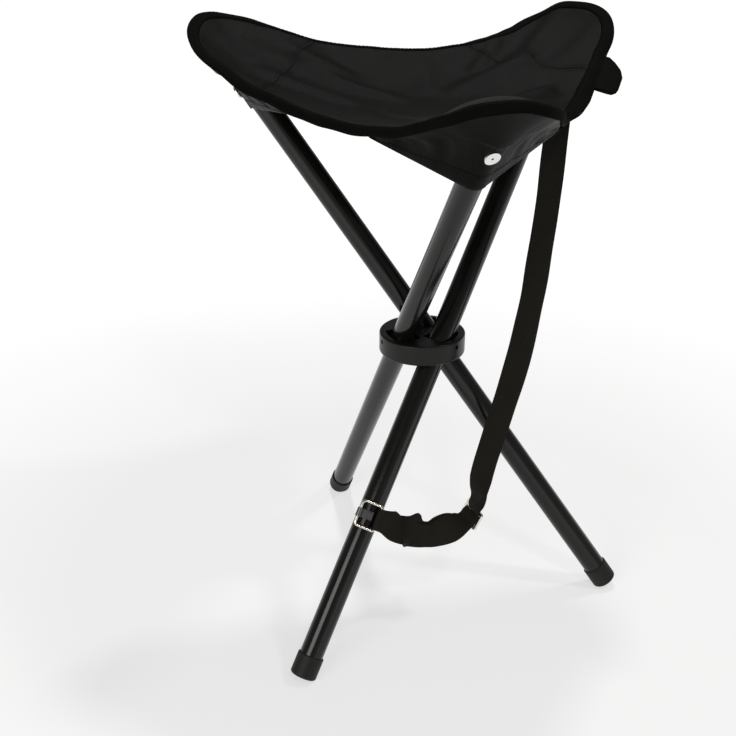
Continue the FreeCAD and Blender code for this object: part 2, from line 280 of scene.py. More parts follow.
def follow(points, leg):
    """Share of the leg's turn that a point of its lobe makes: none along the two folds beside the lobe."""
    out, tangent = way(PIVOT[leg])[:2], way(PIVOT[leg] + 90)[:2]
    across, forth, high = points[:, :2] @ out, points[:, :2] @ tangent, points[:, 2] - HUB_Z
    stop = np.interp(across, STOP_ACROSS, STOP_FORTH)
    turn = np.arctan2(forth, high) - np.arcsin(stop / np.hypot(forth, high))
    before = {"a": "c", "b": "a", "c": "b"}[leg]
    lines = np.concatenate([fold_line(leg), fold_line(before)])
    gap = np.sqrt(((points[:, None, :2] - lines[None]) ** 2).sum(-1)).min(1)
    fade = 10 + 50 * np.clip((np.hypot(points[:, 0], points[:, 1]) - 40) / 90, 0, 1)
    return np.clip(turn / LEAN, 0, 1) * smooth(gap / fade)


def bend_with(piece):
    """Bakes the piece's placing into its points; the piece does not turn with its leg."""
    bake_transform(piece)


# Meshes

def run_of(line):
    """Length along a line of points, at each of them."""
    return np.concatenate([[0], np.cumsum(np.linalg.norm(np.diff(line, axis=0), axis=1))])


def cut_map(along, across):
    """Place of each point of a grid in its flat cut; one of the two runs down the grid's rows."""
    return np.stack(np.broadcast_arrays(along, across), axis=-1).reshape(-1, 2)


def build(name, points, faces, material, uv=None, normals=None):
    """New smooth object from points in millimetres."""
    mesh = bpy.data.meshes.new(name)
    mesh.from_pydata((np.asarray(points) * MM).tolist(), [], faces)
    if uv is not None:
        index = np.zeros(len(mesh.loops), np.int32)
        mesh.loops.foreach_get("vertex_index", index)
        layer = mesh.uv_layers.new(name="cut")
        layer.data.foreach_set("uv", (np.asarray(uv) * MM)[index].astype(np.float32).ravel())
    mesh.polygons.foreach_set("use_smooth", np.ones(len(mesh.polygons), bool))
    mesh.materials.append(material)
    mesh.update()
    if normals is not None:
        mesh.normals_split_custom_set_from_vertices(normals.tolist())
    piece = bpy.data.objects.new(name, mesh)
    bpy.context.scene.collection.objects.link(piece)
    return piece


def grid_faces(rows, columns, closed=False):
    """Faces of a grid of points, row by row; a closed one joins its last column to its first."""
    faces = []
    for i in range(rows - 1):
        for j in range(columns if closed else columns - 1):
            k = (j + 1) % columns
            faces.append((i * columns + j, i * columns + k, (i + 1) * columns + k, (i + 1) * columns + j))
    return faces


def swept(sections):
    """Closed tube of matching sections (rows of points), with its two ends capped."""
    rows, columns = sections.shape[:2]
    faces = grid_faces(rows, columns, closed=True)
    faces.append(tuple(range(columns))[::-1])
    faces.append(tuple(range((rows - 1) * columns, rows * columns)))
    return sections.reshape(-1, 3), faces


def stitches(spots, along, up):
    """Short rounded threads lying at the spots, as one mesh's points and faces."""
    side = unit(np.cross(up, along))
    ring = np.radians(np.arange(6) * 60.0)
    rows = []
    for reach, size, sink in ((-0.5, 0.25, -0.7), (-0.36, 0.9, 0), (0.36, 0.9, 0), (0.5, 0.25, -0.7)):
        middle = spots + along * (reach * STITCH_LONG) + up * (sink * STITCH_R)
        for a in ring:
            rows.append(middle + (side * np.cos(a) + up * np.sin(a)) * (STITCH_R * size))
    points = np.stack(rows, axis=1)
    one = grid_faces(4, 6, closed=True) + [(5, 4, 3, 2, 1, 0), (18, 19, 20, 21, 22, 23)]
    faces = [tuple(i + 24 * k for i in f) for k in range(len(spots)) for f in one]
    return points.reshape(-1, 3), faces


def evenly(line, step):
    """Middles of equal steps along a line of points, and the ways along it there."""
    run = run_of(line)
    at = np.arange(step / 2, run[-1], step)
    spot = np.stack([np.interp(at, run, line[:, k]) for k in range(3)], axis=1)
    ahead = np.stack([np.interp(at + 0.5, run, line[:, k]) for k in range(3)], axis=1)
    behind = np.stack([np.interp(at - 0.5, run, line[:, k]) for k in range(3)], axis=1)
    return spot, unit(ahead - behind)


def nurbs_line(points):
    """Points along the smooth line that a route's points control."""
    curve = bpy.data.curves.new("route", "CURVE")
    curve.dimensions = "3D"
    spline = curve.splines.new("NURBS")
    spline.points.add(len(points) - 1)
    for knot, spot in zip(spline.points, points):
        knot.co = (*spot, 1)
    spline.order_u = 3
    spline.use_endpoint_u = True
    curve.resolution_u = 24
    holder = bpy.data.objects.new("route", curve)
    mesh = bpy.data.meshes.new_from_object(holder)
    line = np.array([v.co for v in mesh.vertices], float)
    bpy.data.meshes.remove(mesh)
    bpy.data.objects.remove(holder)
    bpy.data.curves.remove(curve)
    return line


# Materials

def node(tree, kind, inputs=None, **settings):
    """New shader node; an input that is a socket is linked, any other is set."""
    made = tree.nodes.new(kind)
    for key, value in settings.items():
        setattr(made, key, value)
    for key, value in (inputs or {}).items():
        if isinstance(value, bpy.types.NodeSocket):
            tree.links.new(value, made.inputs[key])
        else:
            made.inputs[key].default_value = value
    return made


def calc(tree, operation, first, second=0.0):
    return node(tree, "ShaderNodeMath", {0: first, 1: second}, operation=operation).outputs[0]


def principled(name, **values):
    """New material, its node tree and its main shader."""
    material = bpy.data.materials.new(name)
    material.use_nodes = True
    tree = material.node_tree
    shader = tree.nodes["Principled BSDF"]
    for key, value in values.items():
        shader.inputs[key].default_value = value
    return material, tree, shader


def tone(tree, shader, noise, dark, light):
    """Base colour that varies softly between two tones."""
    ramp = node(tree, "ShaderNodeValToRGB", {"Fac": noise})
    ramp.color_ramp.elements[0].position = 0.32
    ramp.color_ramp.elements[0].color = (*dark, 1)
    ramp.color_ramp.elements[1].position = 0.7
    ramp.color_ramp.elements[1].color = (*light, 1)
    tree.links.new(ramp.outputs["Color"], shader.inputs["Base Color"])


def spread_to(tree, value, low, high):
    scaled = node(tree, "ShaderNodeMapRange", {"Value": value, "To Min": low, "To Max": high})
    return scaled.outputs["Result"]


def cloth_material(name, dark, light, pitch, rough, sheen, shine, ribbed=False):
    """Woven cloth in the cut's own coordinates: plain weave, or ribs across a tape."""
    material, tree, shader = principled(name, **{"Sheen Weight": sheen, "Sheen Roughness": 0.45, "IOR": 1.46,
                                                 "Specular IOR Level": shine})
    spot = node(tree, "ShaderNodeTexCoord").outputs["UV"]
    split = node(tree, "ShaderNodeSeparateXYZ", {"Vector": spot})
    warp = calc(tree, "SINE", calc(tree, "MULTIPLY", split.outputs["X"], math.pi / (pitch * MM)))
    weft = calc(tree, "SINE", calc(tree, "MULTIPLY", split.outputs["Y"], math.pi / (pitch * MM)))
    if ribbed:
        weft = calc(tree, "MULTIPLY", weft, 0.35)
        weave = calc(tree, "ADD", calc(tree, "ABSOLUTE", warp), weft)
    else:
        weave = calc(tree, "MULTIPLY", warp, weft)
    slub = node(tree, "ShaderNodeTexNoise", {"Vector": spot, "Scale": 900.0, "Detail": 3.0})
    patch = node(tree, "ShaderNodeTexNoise", {"Vector": spot, "Scale": 26.0, "Detail": 4.0,
                                              "Roughness": 0.6})
    mixed = calc(tree, "ADD", calc(tree, "MULTIPLY", slub.outputs["Fac"], 0.45),
                 calc(tree, "MULTIPLY", patch.outputs["Fac"], 0.55))
    tone(tree, shader, mixed, dark, light)
    uneven = spread_to(tree, patch.outputs["Fac"], rough - 0.07, rough + 0.07)
    tree.links.new(uneven, shader.inputs["Roughness"])
    high = calc(tree, "ADD", weave, calc(tree, "MULTIPLY", slub.outputs["Fac"], 0.8))
    bump = node(tree, "ShaderNodeBump", {"Height": high, "Strength": 0.35, "Distance": 0.00025})
    tree.links.new(bump.outputs["Normal"], shader.inputs["Normal"])
    return material


def hard_material(name, dark, light, rough, grain, bump_height, **values):
    """Painted, moulded or plated surface: soft changes of tone, fine grain and faint scuffs."""
    material, tree, shader = principled(name, **values)
    spot = node(tree, "ShaderNodeTexCoord").outputs["Object"]
    patch = node(tree, "ShaderNodeTexNoise", {"Vector": spot, "Scale": 22.0, "Detail": 5.0,
                                              "Roughness": 0.6})
    fine = node(tree, "ShaderNodeTexNoise", {"Vector": spot, "Scale": grain, "Detail": 2.0})
    tone(tree, shader, patch.outputs["Fac"], dark, light)
    worn = calc(tree, "ADD", calc(tree, "MULTIPLY", patch.outputs["Fac"], 0.6),
                calc(tree, "MULTIPLY", fine.outputs["Fac"], 0.4))
    tree.links.new(spread_to(tree, worn, rough * 0.75, rough * 1.3), shader.inputs["Roughness"])
    bump = node(tree, "ShaderNodeBump", {"Height": fine.outputs["Fac"], "Strength": 0.2,
                                         "Distance": bump_height})
    tree.links.new(bump.outputs["Normal"], shader.inputs["Normal"])
    return material


CLOTH = cloth_material("seat_cloth", (0.004, 0.004, 0.0035), (0.0078, 0.0078, 0.0069),
                       pitch=0.9, rough=0.42, sheen=0.01, shine=0.045)
TAPE = cloth_material("binding_tape", (0.0034, 0.0034, 0.0026), (0.0064, 0.0064, 0.005),
                      pitch=1.1, rough=0.8, sheen=0.0, shine=0.03, ribbed=True)
# Painted shade: the tab is the strap's own webbing, given a much darker colour for the shade it lies in
# under lobe b.
TAB_PAINTED_SHADE = cloth_material("tab_webbing_painted_shade", (0.0034, 0.0034, 0.0027), (0.0062, 0.0061, 0.0049),
                     pitch=1.6, rough=0.8, sheen=0.0, shine=0.05, ribbed=True)
WEBBING = cloth_material("webbing", (0.0125, 0.0112, 0.0085), (0.021, 0.019, 0.0148),
                         pitch=1.6, rough=0.7, sheen=0.02, shine=0.12, ribbed=True)
THREAD = hard_material("thread", (0.006, 0.006, 0.0055), (0.011, 0.011, 0.01), 0.7, 3000.0, 0.00005,
                       **{"Specular IOR Level": 0.1})
PAINT = hard_material("leg_paint", (0.0058, 0.0056, 0.0048), (0.01, 0.0097, 0.0084), 0.15, 700.0, 0.00004,
                      **{"IOR": 1.45, "Specular IOR Level": 0.4})
HUB = hard_material("hub_plastic", (0.0042, 0.004, 0.0033), (0.0066, 0.0063, 0.0053), 0.33, 1600.0, 0.00006,
                    **{"IOR": 1.5, "Specular IOR Level": 0.26})
PLUG = hard_material("plug_plastic", (0.01, 0.01, 0.01), (0.016, 0.016, 0.016), 0.5, 1500.0, 0.00006)
RUBBER = hard_material("foot_rubber", (0.009, 0.0087, 0.0078), (0.014, 0.0136, 0.0122), 0.55, 1800.0, 0.0001,
                       **{"Specular IOR Level": 0.3})
NICKEL = hard_material("nickel", (0.72, 0.66, 0.54), (0.86, 0.82, 0.74), 0.2, 1200.0, 0.00003, Metallic=1.0)
ZINC = hard_material("zinc", (0.78, 0.78, 0.76), (0.92, 0.92, 0.9), 0.26, 1400.0, 0.00004, Metallic=1.0)
STEEL = hard_material("pin_steel", (0.12, 0.12, 0.12), (0.2, 0.2, 0.2), 0.35, 1400.0, 0.00004, Metallic=1.0)


def dress_solids():
    """Finish of the pieces that show as their own solids."""
    finish = {"hub_body": HUB, "strap_slider": NICKEL, "strap_ring": NICKEL, "ring_saddle": STEEL,
              "saddle_rivet": STEEL}
    for leg in PIVOT:
        finish.update({"leg_tube_" + leg: PAINT, "top_plug_" + leg: PLUG, "foot_cap_" + leg: RUBBER,
                       "pivot_pin_" + leg: STEEL, "pocket_rivet_" + leg: ZINC})
    for name, material in finish.items():
        NODES[name].data.materials.clear()
        NODES[name].data.materials.append(material)


# Seat cloth

def seat_mesh():
    """Rings of points from the middle to the bound edge, over the whole seat."""
    azimuth = np.arange(0, 360, 0.75)
    shares = np.concatenate([np.linspace(0.02, 0.9, 62), np.linspace(0.912, 1.0, 9)])
    rings = [seat_point(azimuth, s * crest_share(azimuth)) for s in shares]
    for run in (2.0, 4.5, 8.0):
        rings.append(rim_strip(azimuth, np.full_like(azimuth, run), np.full_like(azimuth, -0.6)))
    points = np.concatenate(rings)
    faces = grid_faces(len(rings), len(azimuth), closed=True)
    middle = len(points)
    points = np.concatenate([points, [[0, 0, seat_height(np.array(0.0), np.array(0.0))]]])
    faces += [(middle, (j + 1) % len(azimuth), j) for j in range(len(azimuth))]
    return points, faces


def make_seat():
    """Three lobes of cloth that share their edge points and normals along the folds between them."""
    points, faces = seat_mesh()
    whole = build("whole_seat", points, faces, CLOTH)
    normals = np.array([v.normal for v in whole.data.vertices])
    bpy.data.objects.remove(whole)
    middles = np.array([points[list(f)].mean(0) for f in faces])
    owner = territory(middles[:, 0], middles[:, 1])
    claims = [set(np.concatenate([f for f, o in zip(faces, owner) if o == k])) for k in range(3)]
    shared = (claims[0] & claims[1]) | (claims[1] & claims[2]) | (claims[0] & claims[2])
    for k, leg in enumerate("cab"):
        used = np.array(sorted(claims[k]))
        place = {old: new for new, old in enumerate(used)}
        own = [tuple(place[i] for i in f) for f, o in zip(faces, owner) if o == k]
        piece = build("seat_cloth_" + leg, points[used], own, CLOTH, points[used, :2], normals[used])
        share = follow(points[used], leg)
        share[[place[i] for i in shared if i in place]] = 0.0
        bend_with(piece)
        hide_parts("seat_panel")


# Section of the binding round the cloth's edge: run down the strip and lift off the cloth
BINDING = [(-1.2, 0.15), (-0.4, 0.9), (2, 1.15), (5, 1.25), (9, 1.15), (10.5, 0.6), (11, -0.5), (10.5, -1.6),
           (9, -2.1), (5, -2.2), (2, -2.0), (-0.4, -1.7), (-1.2, -0.9)]


# Run down the strip of the thread that holds the binding
SEWN_RUN = 2.4


def on_binding(azimuth, run):
    """Run down the strip of a line along the binding, which is wider beside the tab."""
    return run - lap_wide(azimuth) / STRIP_W * (STRIP_W - run)


def binding_tape(leg, azimuth):
    """One lobe's run of the binding, slightly uneven in thickness and width."""
    angle = np.radians(azimuth)
    ripple = 1 + 0.09 * np.sin(angle * 33) + 0.06 * np.sin(angle * 71 + 1)
    stray = 0.03 * np.sin(angle * 19)
    section = [rim_strip(azimuth, on_binding(azimuth, run) + run * stray, lift * ripple)
               for run, lift in BINDING]
    points = np.stack(section, axis=1)
    along = run_of(points[:, 3])
    across = np.array([run if lift > -0.5 else 26 - run for run, lift in BINDING])
    flat = points.reshape(-1, 3)
    faces = grid_faces(len(azimuth), len(BINDING), closed=True)
    piece = build("edge_binding_" + leg, flat, faces, TAPE, cut_map(along[:, None], across[None]))
    share = follow(flat, leg)
    share[:len(BINDING)] = 0.0
    share[-len(BINDING):] = 0.0
    bend_with(piece)
    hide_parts("edge_binding")


def binding_thread(leg, azimuth):
    """Stitches along the binding's inner edge."""
    sewn_at = on_binding(azimuth, SEWN_RUN)
    line = rim_strip(azimuth, sewn_at, np.full_like(azimuth, 1.05))
    deeper = rim_strip(azimuth, sewn_at, np.full_like(azimuth, 0.28))
    spots, ahead = evenly(line, STITCH_STEP)
    run = np.linspace(0, 1, len(line))
    at = np.linspace(0, 1, len(spots))
    up = unit(np.stack([np.interp(at, run, (line - deeper)[:, k]) for k in range(3)], axis=1))
    thread, faces = stitches(spots, ahead, up)
    sewn = build("binding_stitches_" + leg, thread, faces, THREAD)
    bend_with(sewn)


def make_binding():
    for leg, psi in PIVOT.items():
        lobe = psi + LOBE_TURN
        azimuth = np.linspace(lobe - 60, lobe + 60, 300)
        binding_tape(leg, azimuth)
        binding_thread(leg, azimuth)


# Lobe seams: where each pocket's cloth is sewn through the seat

SEAM_LINE = {
    "a": [(-22, -188), (20, -171), (67, -150), (110, -130), (150, -112)],
    "b": [(14, 160), (36, 149), (58, 128), (70, 128), (82, 141), (94, 138), (104, 118), (120, 111),
          (145, 112), (170, 106)],
    "c": [(-158, -58), (-156, -40), (-149, 4), (-146, 50), (-132, 92)],
}
# Section of the raised seam: offset beside its line and height over the cloth
WELT = [(-2.2, -0.25), (-1.6, 0.4), (-0.4, 0.6), (0.4, 0.55), (0.8, -0.25)]
# Offsets of the two rows of stitches beside a seam, and their step
SEAM_ROWS = (-4.6, 3.2)
SEAM_STEP = 4.6


def lobe_seam(leg):
    """Line of the seam across a lobe, on the seat."""
    line = nurbs_line([(x, y, 0) for x, y in SEAM_LINE[leg]])
    azimuth = np.degrees(np.arctan2(line[:, 1], line[:, 0]))
    line = line[np.hypot(line[:, 0], line[:, 1]) < rim_radius(azimuth) * crest_share(azimuth) - 1.0]
    line[:, 2] = seat_height(line[:, 0], line[:, 1])
    return line


def seam_welt(leg, line, side, up):
    """Raised edge of the cloth along the seam."""
    section = np.stack([line + side * s + up * h for s, h in WELT], axis=1)
    points, faces = swept(section)
    across = np.array([s for s, _ in WELT])
    piece = build("lobe_seam_" + leg, points, faces, CLOTH, cut_map(run_of(line)[:, None], across[None]))
    bend_with(piece)


def seam_thread(leg, line, side, up):
    """Two rows of stitches beside the seam."""
    rows = []
    for offset in SEAM_ROWS:
        row = line + side * offset
        row[:, 2] = seat_height(row[:, 0], row[:, 1])
        spots, ahead = evenly(row, SEAM_STEP)
        at = np.linspace(0, len(line) - 1, len(spots)).astype(int)
        rows.append((spots + up[at] * 0.15, ahead, up[at]))
    thread, faces = stitches(*(np.concatenate(part) for part in zip(*rows)))
    sewn = build("seam_stitches_" + leg, thread, faces, THREAD)
    bend_with(sewn)


def make_seams():
    for leg in PIVOT:
        line = lobe_seam(leg)
        ahead = unit(np.gradient(line, axis=0))
        slope = seat_height(line[:, 0] + 1.0, line[:, 1]) - line[:, 2]
        tilt = seat_height(line[:, 0], line[:, 1] + 1.0) - line[:, 2]
        up = unit(np.stack([-slope, -tilt, np.ones_like(slope)], axis=-1))
        side = np.cross(up, ahead)
        seam_welt(leg, line, side, up)
        seam_thread(leg, line, side, up)


# Pockets

# Height of each pocket's mouth up its leg from the pin
MOUTH = {"a": 264.0, "b": 292.0, "c": 296.0}
# Turn from the lobe's axis: where a pocket ends on either side, and how much of it lies round the tube
POCKET_BACK = 36.0
POCKET_FORE = 40.0
POCKET_ROUND = 8.0
POCKET_WRAP = 45.0
# Lower edge of the upper layer, as a share of the way to the mouth, by turn
LIP_TURN = [-30, -18, -8, 0, 6, 12, 18]
LIP_SHARE = [0.08, 0.3, 0.5, 0.585, 0.56, 0.3, 0.1]
# Row of a pocket's points that its hem stitches follow, and the row that its width is measured on
HEM_ROW = 34
WIDTH_ROW = 25


def pocket_points(leg, turn, share):
    """Points of a pocket: turn from the lobe's axis, share of the way from the edge to its mouth."""
    lobe = PIVOT[leg] + LOBE_TURN
    top = rim_strip(lobe + turn, np.full_like(turn, 8.5), np.full_like(turn, -1.2))
    wrapped = np.clip(turn, -POCKET_ROUND, POCKET_ROUND) * POCKET_WRAP / POCKET_ROUND
    radius = TUBE_R + 1.2
    low, mid = (beside(leg, wrapped, radius, np.full_like(turn, run)) for run in (MOUTH[leg], TOP_REACH - 6))
    reach = np.where(turn > 0, POCKET_FORE, POCKET_BACK)
    part = np.clip((np.abs(turn) - POCKET_ROUND) / (reach - POCKET_ROUND), 0, 1)[..., None]
    end = lobe + np.where(turn > 0, POCKET_FORE, -POCKET_BACK)
    corner = rim_strip(end, np.full_like(turn, 10.5), np.full_like(turn, -1.5))
    low = low * (1 - part) + corner * part
    mid = mid * (1 - part) + (top * 0.5 + low * 0.5) * part
    s = share[..., None]
    return top * (1 - s) ** 2 + mid * 2 * s * (1 - s) + low * s ** 2


def pocket_layer(leg, turn, share):
    """Middle of a pocket's cloth, puckered beside the tube and doubled above its lip, and the ways out."""
    points = pocket_points(leg, turn.ravel(), share.ravel()).reshape(*turn.shape, 3)
    across = np.gradient(points, axis=1)
    down = np.gradient(points, axis=0)
    outward = np.cross(across, down)
    size = np.linalg.norm(outward, axis=-1, keepdims=True)
    outward = outward / np.maximum(size, 1e-9)
    _, _, outer, _ = leg_axes(leg)
    outward *= np.sign((outward[20, 60] * outer).sum())
    ease = (np.sin(np.pi * share) ** 0.8 * np.clip((np.abs(turn) - 6) / 12, 0, 1))[..., None]
    pucker = np.sin(turn * 0.55 + 2.2 * share) + 0.6 * np.sin(turn * 1.1 - 3 * share + 1)
    points = points + outward * ease * (1.1 * pucker)[..., None]
    lip = np.interp(turn, LIP_TURN, LIP_SHARE)
    bulge = 2.6 * smooth((lip - share) / 0.04) * (share / lip) ** 0.7
    bulge = bulge * smooth((turn + 32) / 14) * smooth((20 - turn) / 10)
    return points + outward * bulge[..., None], outward


def two_sided(front, back):
    """Closed sheet between two matching grids of points, as points and faces."""
    sheet = np.concatenate([front, back[::-1]])
    rows, columns = sheet.shape[:2]
    faces = grid_faces(rows, columns)
    last = (rows - 1) * columns
    faces += [(last + i, last + i + 1, i + 1, i) for i in range(columns - 1)]
    for i in range(len(front) - 1):
        ring = (i, i + 1, rows - 2 - i, rows - 1 - i)
        faces.append(tuple(r * columns for r in ring)[::-1])
        faces.append(tuple((r + 1) * columns - 1 for r in ring))
    return sheet.reshape(-1, 3), faces


def pocket_cloth(leg, points, outward, share):
    """A pocket's cloth, thicker in the hem along its mouth."""
    hem = 0.4 * smooth((share - 0.88) / 0.03)[..., None]
    flat, faces = two_sided(points + outward * (0.6 + hem), points - outward * 0.6)
    wide = run_of(points[WIDTH_ROW])
    tall = np.concatenate([share[:, 0] * 100, 200 - share[::-1, 0] * 100])
    piece = build("pocket_cloth_" + leg, flat, faces, CLOTH, cut_map(wide[None], tall[:, None]))
    bend_with(piece)
    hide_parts("pocket_" + leg)


def pocket_thread(leg, points, outward):
    """Stitches of the hem."""
    line = (points + outward * 1.1)[HEM_ROW]
    spots, ahead = evenly(line, STITCH_STEP)
    at = np.linspace(0, len(line) - 1, len(spots)).astype(int)
    thread, faces = stitches(spots, ahead, outward[HEM_ROW][at])
    sewn = build("pocket_stitches_" + leg, thread, faces, THREAD)
    bend_with(sewn)


def make_pockets():
    turns = np.concatenate([np.linspace(-POCKET_BACK, -10, 40), np.linspace(-9.5, 9.5, 39),
                            np.linspace(10, POCKET_FORE, 44)])
    turn, share = np.meshgrid(turns, np.linspace(0, 1, 40))
    for leg in PIVOT:
        points, outward = pocket_layer(leg, turn, share)
        pocket_cloth(leg, points, outward, share)
        pocket_thread(leg, points, outward)


# Strap

def beside_strap(t, z):
    """Point of the strap's vertical plane beside leg b."""
    spot = way(PIVOT["b"]) * 90.0 + way(PIVOT["b"] + 90) * t
    return np.array([spot[0], spot[1], z])


# Middle of the slider, and the azimuth of the slack from there to the ring
SLIDER = beside_strap(-20, 131)
SLACK_AZIMUTH = 209.8


def slack_spot(h, z):
    """Point of the slack's vertical plane: h from the slider towards the ring."""
    spot = SLIDER + way(SLACK_AZIMUTH) * h
    return np.array([spot[0], spot[1], z])


# Ways along the slider's bars, along the webbing through it and off its face
SLIDER_LONG = way(297.0)
SLIDER_ON = unit(way(SLACK_AZIMUTH) * 0.45 - np.array([0, 0, 0.89]))
SLIDER_ON = unit(SLIDER_ON - SLIDER_LONG * (SLIDER_ON @ SLIDER_LONG))
SLIDER_FACE = np.cross(SLIDER_ON, SLIDER_LONG)
# Middle of the ring's outer bar, and the way along it
RING_BAR = np.array([-24.63, -125.31, 154.79])
RING_BAR_WAY = np.array([0.29389, 0.50904, 0.80902])


def by_slider(on, lift):
    """Point at the slider: on along the webbing's way through it, lift off its face."""
    return SLIDER + SLIDER_ON * on + SLIDER_FACE * lift


def turning(run, keys):
    """Direction that changes smoothly along a run, through (share of the run, direction) keys."""
    share = run / run[-1]
    at = [k for k, _ in keys]
    return unit(np.stack([np.interp(share, at, [d[i] for _, d in keys]) for i in range(3)], axis=-1))


# Section of the webbing, in shares of its width and thickness
PROFILE = [(-0.5, 0), (-0.485, 0.42), (-0.44, 0.5), (-0.2, 0.5), (0.2, 0.5), (0.44, 0.5), (0.485, 0.42),
           (0.5, 0), (0.485, -0.42), (0.44, -0.5), (0.2, -0.5), (-0.2, -0.5), (-0.44, -0.5), (-0.485, -0.42)]


def band(line, across, wobble, stray=None):
    """Flat webbing along a line, across giving its width's way at each point, with rounded edges."""
    ahead = unit(np.gradient(line, axis=0))
    across = unit(across - ahead * (across * ahead).sum(-1, keepdims=True))
    face = np.cross(ahead, across)
    run = run_of(line)
    section = []
    for s, h in PROFILE:
        cup = wobble * (np.sin(run / 17 + s * 2.5) + 0.6 * np.sin(run / 9 - s * 4))
        side = s * STRAP_W + 0.5 * wobble * np.sin(run / 13 + s)
        if stray is not None:
            side = side + stray(run, s)
        section.append(line + across * side[:, None] + face * (h * STRAP_T + cup)[:, None])
    points, faces = swept(np.stack(section, axis=1))
    side = np.array([s * STRAP_W if h >= 0 else 2 * STRAP_W - s * STRAP_W for s, h in PROFILE])
    return points, faces, cut_map(run[:, None], side[None])


def make_strap():
    """Hanging run of the webbing, from under the seat to the slider."""
    route = [beside_strap(96, 549.4), beside_strap(93, 496), beside_strap(84, 420), beside_strap(64, 322),
             beside_strap(36, 258), beside_strap(5, 204), beside_strap(-12, 165), by_slider(-20, 3.4),
             by_slider(-9, 5.0), by_slider(-4, 0.8)]
    line = nurbs_line(route)
    run = run_of(line)
    across = turning(run, [(0, way(325)), (0.45, way(326)), (0.6, way(330)), (0.78, way(326)),
                           (0.91, way(321)), (0.98, SLIDER_LONG), (1, SLIDER_LONG)])
    points, faces, uv = band(line, across, 0.35)
    strap = build("strap_webbing", points, faces, WEBBING, uv)
    bend_with(strap)
    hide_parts("strap_upper")
    make_slack()
    make_slider()


def slack_line():
    """Middle line of the slack, with the ways along it and across it at each point."""
    came = unit(RING_BAR - slack_spot(40, 118))
    came = unit(came - RING_BAR_WAY * (came @ RING_BAR_WAY))
    route = [by_slider(-3.4, 1.2), by_slider(1, 4.0), by_slider(8, 4.4), slack_spot(17, 124.5),
             slack_spot(34, 122.5), slack_spot(54, 118.5), slack_spot(76, 127), RING_BAR - came * 15,
             RING_BAR]
    line = nurbs_line(route)
    run = run_of(line)
    ahead = unit(np.gradient(line, axis=0))
    upright = np.cross(way(SLACK_AZIMUTH + 96), [0.0, 0, 1.0]) * 0.1 + np.array([0.0, 0, 1.0])
    across = turning(run, [(0, -SLIDER_LONG), (0.1, -SLIDER_LONG), (0.26, unit(upright - SLIDER_LONG * 0.9)),
                           (0.46, upright), (0.58, upright), (0.72, unit(upright - SLIDER_LONG * 0.75)),
                           (0.9, RING_BAR_WAY), (1, RING_BAR_WAY)])
    return line, ahead, unit(across - ahead * (across * ahead).sum(-1, keepdims=True))


def make_slack():
    """Doubled end of the webbing: from the slider to the ring's bar and back, gathered at the ring."""
    line, ahead, across = slack_line()
    run = run_of(line)
    face = np.cross(ahead, across)
    gap = (1.2 + 1.3 * smooth((run / run[-1] - 0.86) / 0.1))[:, None]
    tip = [line[-1] + face[-1] * (2.5 * math.cos(a)) + ahead[-1] * (2.5 * math.sin(a))
           for a in np.radians(range(20, 180, 20))]
    loop = np.concatenate([line + face * gap, tip, (line - face * gap)[::-1]])
    wide = np.concatenate([across, np.repeat(across[-1:], len(tip), axis=0), across[::-1]])
    whole = run_of(loop)[-1]

    def stray(along, s):
        knot = 7.0 * np.exp(-((along - 0.29 * whole) / 5.0) ** 2) * smooth((s - 0.1) / 0.4)
        drift = 2.6 * smooth((along / whole - 0.55) / 0.1) * smooth((0.97 - along / whole) / 0.1)
        gathered = smooth((along / whole - 0.4) / 0.07) * smooth((0.6 - along / whole) / 0.07)
        return knot - drift - 0.23 * s * STRAP_W * gathered

    points, faces, uv = band(loop, wide, 0.55, stray)
    piece = build("strap_slack", points, faces, WEBBING, uv)
    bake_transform(piece)
    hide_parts("strap_lower")
    return piece


def make_slider():
    """The slider, turned to lie across the strap's lower end."""
    source = NODES["strap_slider"]
    spots = np.array([source.matrix_world @ v.co for v in source.data.vertices]) / MM - SLIDER
    wide, tall = way(SLACK_AZIMUTH), np.array([0.0, 0, 1.0])
    thick = np.cross(wide, tall)
    spots = (SLIDER + np.outer(spots @ wide, SLIDER_ON) + np.outer(spots @ tall, SLIDER_LONG)
             + np.outer(spots @ thick, SLIDER_FACE) - SLIDER_LONG * 3)
    faces = [tuple(f.vertices) for f in source.data.polygons]
    piece = build("slider", spots, faces, NICKEL)
    piece.data.polygons.foreach_set("use_smooth", [f.use_smooth for f in source.data.polygons])
    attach(piece, "leg_b")
    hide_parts("strap_slider")
    return piece


# Tab: where it is sewn, by turn from lobe b's axis, the way it points, its folded section and its end
TAB_TURN = (-24.5, -15.5)
TAB_OUT = (0.95, 0.155, -0.27)
TAB_FOLD = [(0, 1.7), (10, 1.9), (20, 2.0), (25, 1.5), (26.5, 0), (25, -1.5), (20, -2.0), (10, -1.9),
            (0, -1.7)]
TAB_SHARE = [0, 0.06, 0.2, 0.62, 0.8, 0.93, 1]
TAB_TAPER = [0.86, 0.95, 1, 1, 0.86, 0.55, 0.3]


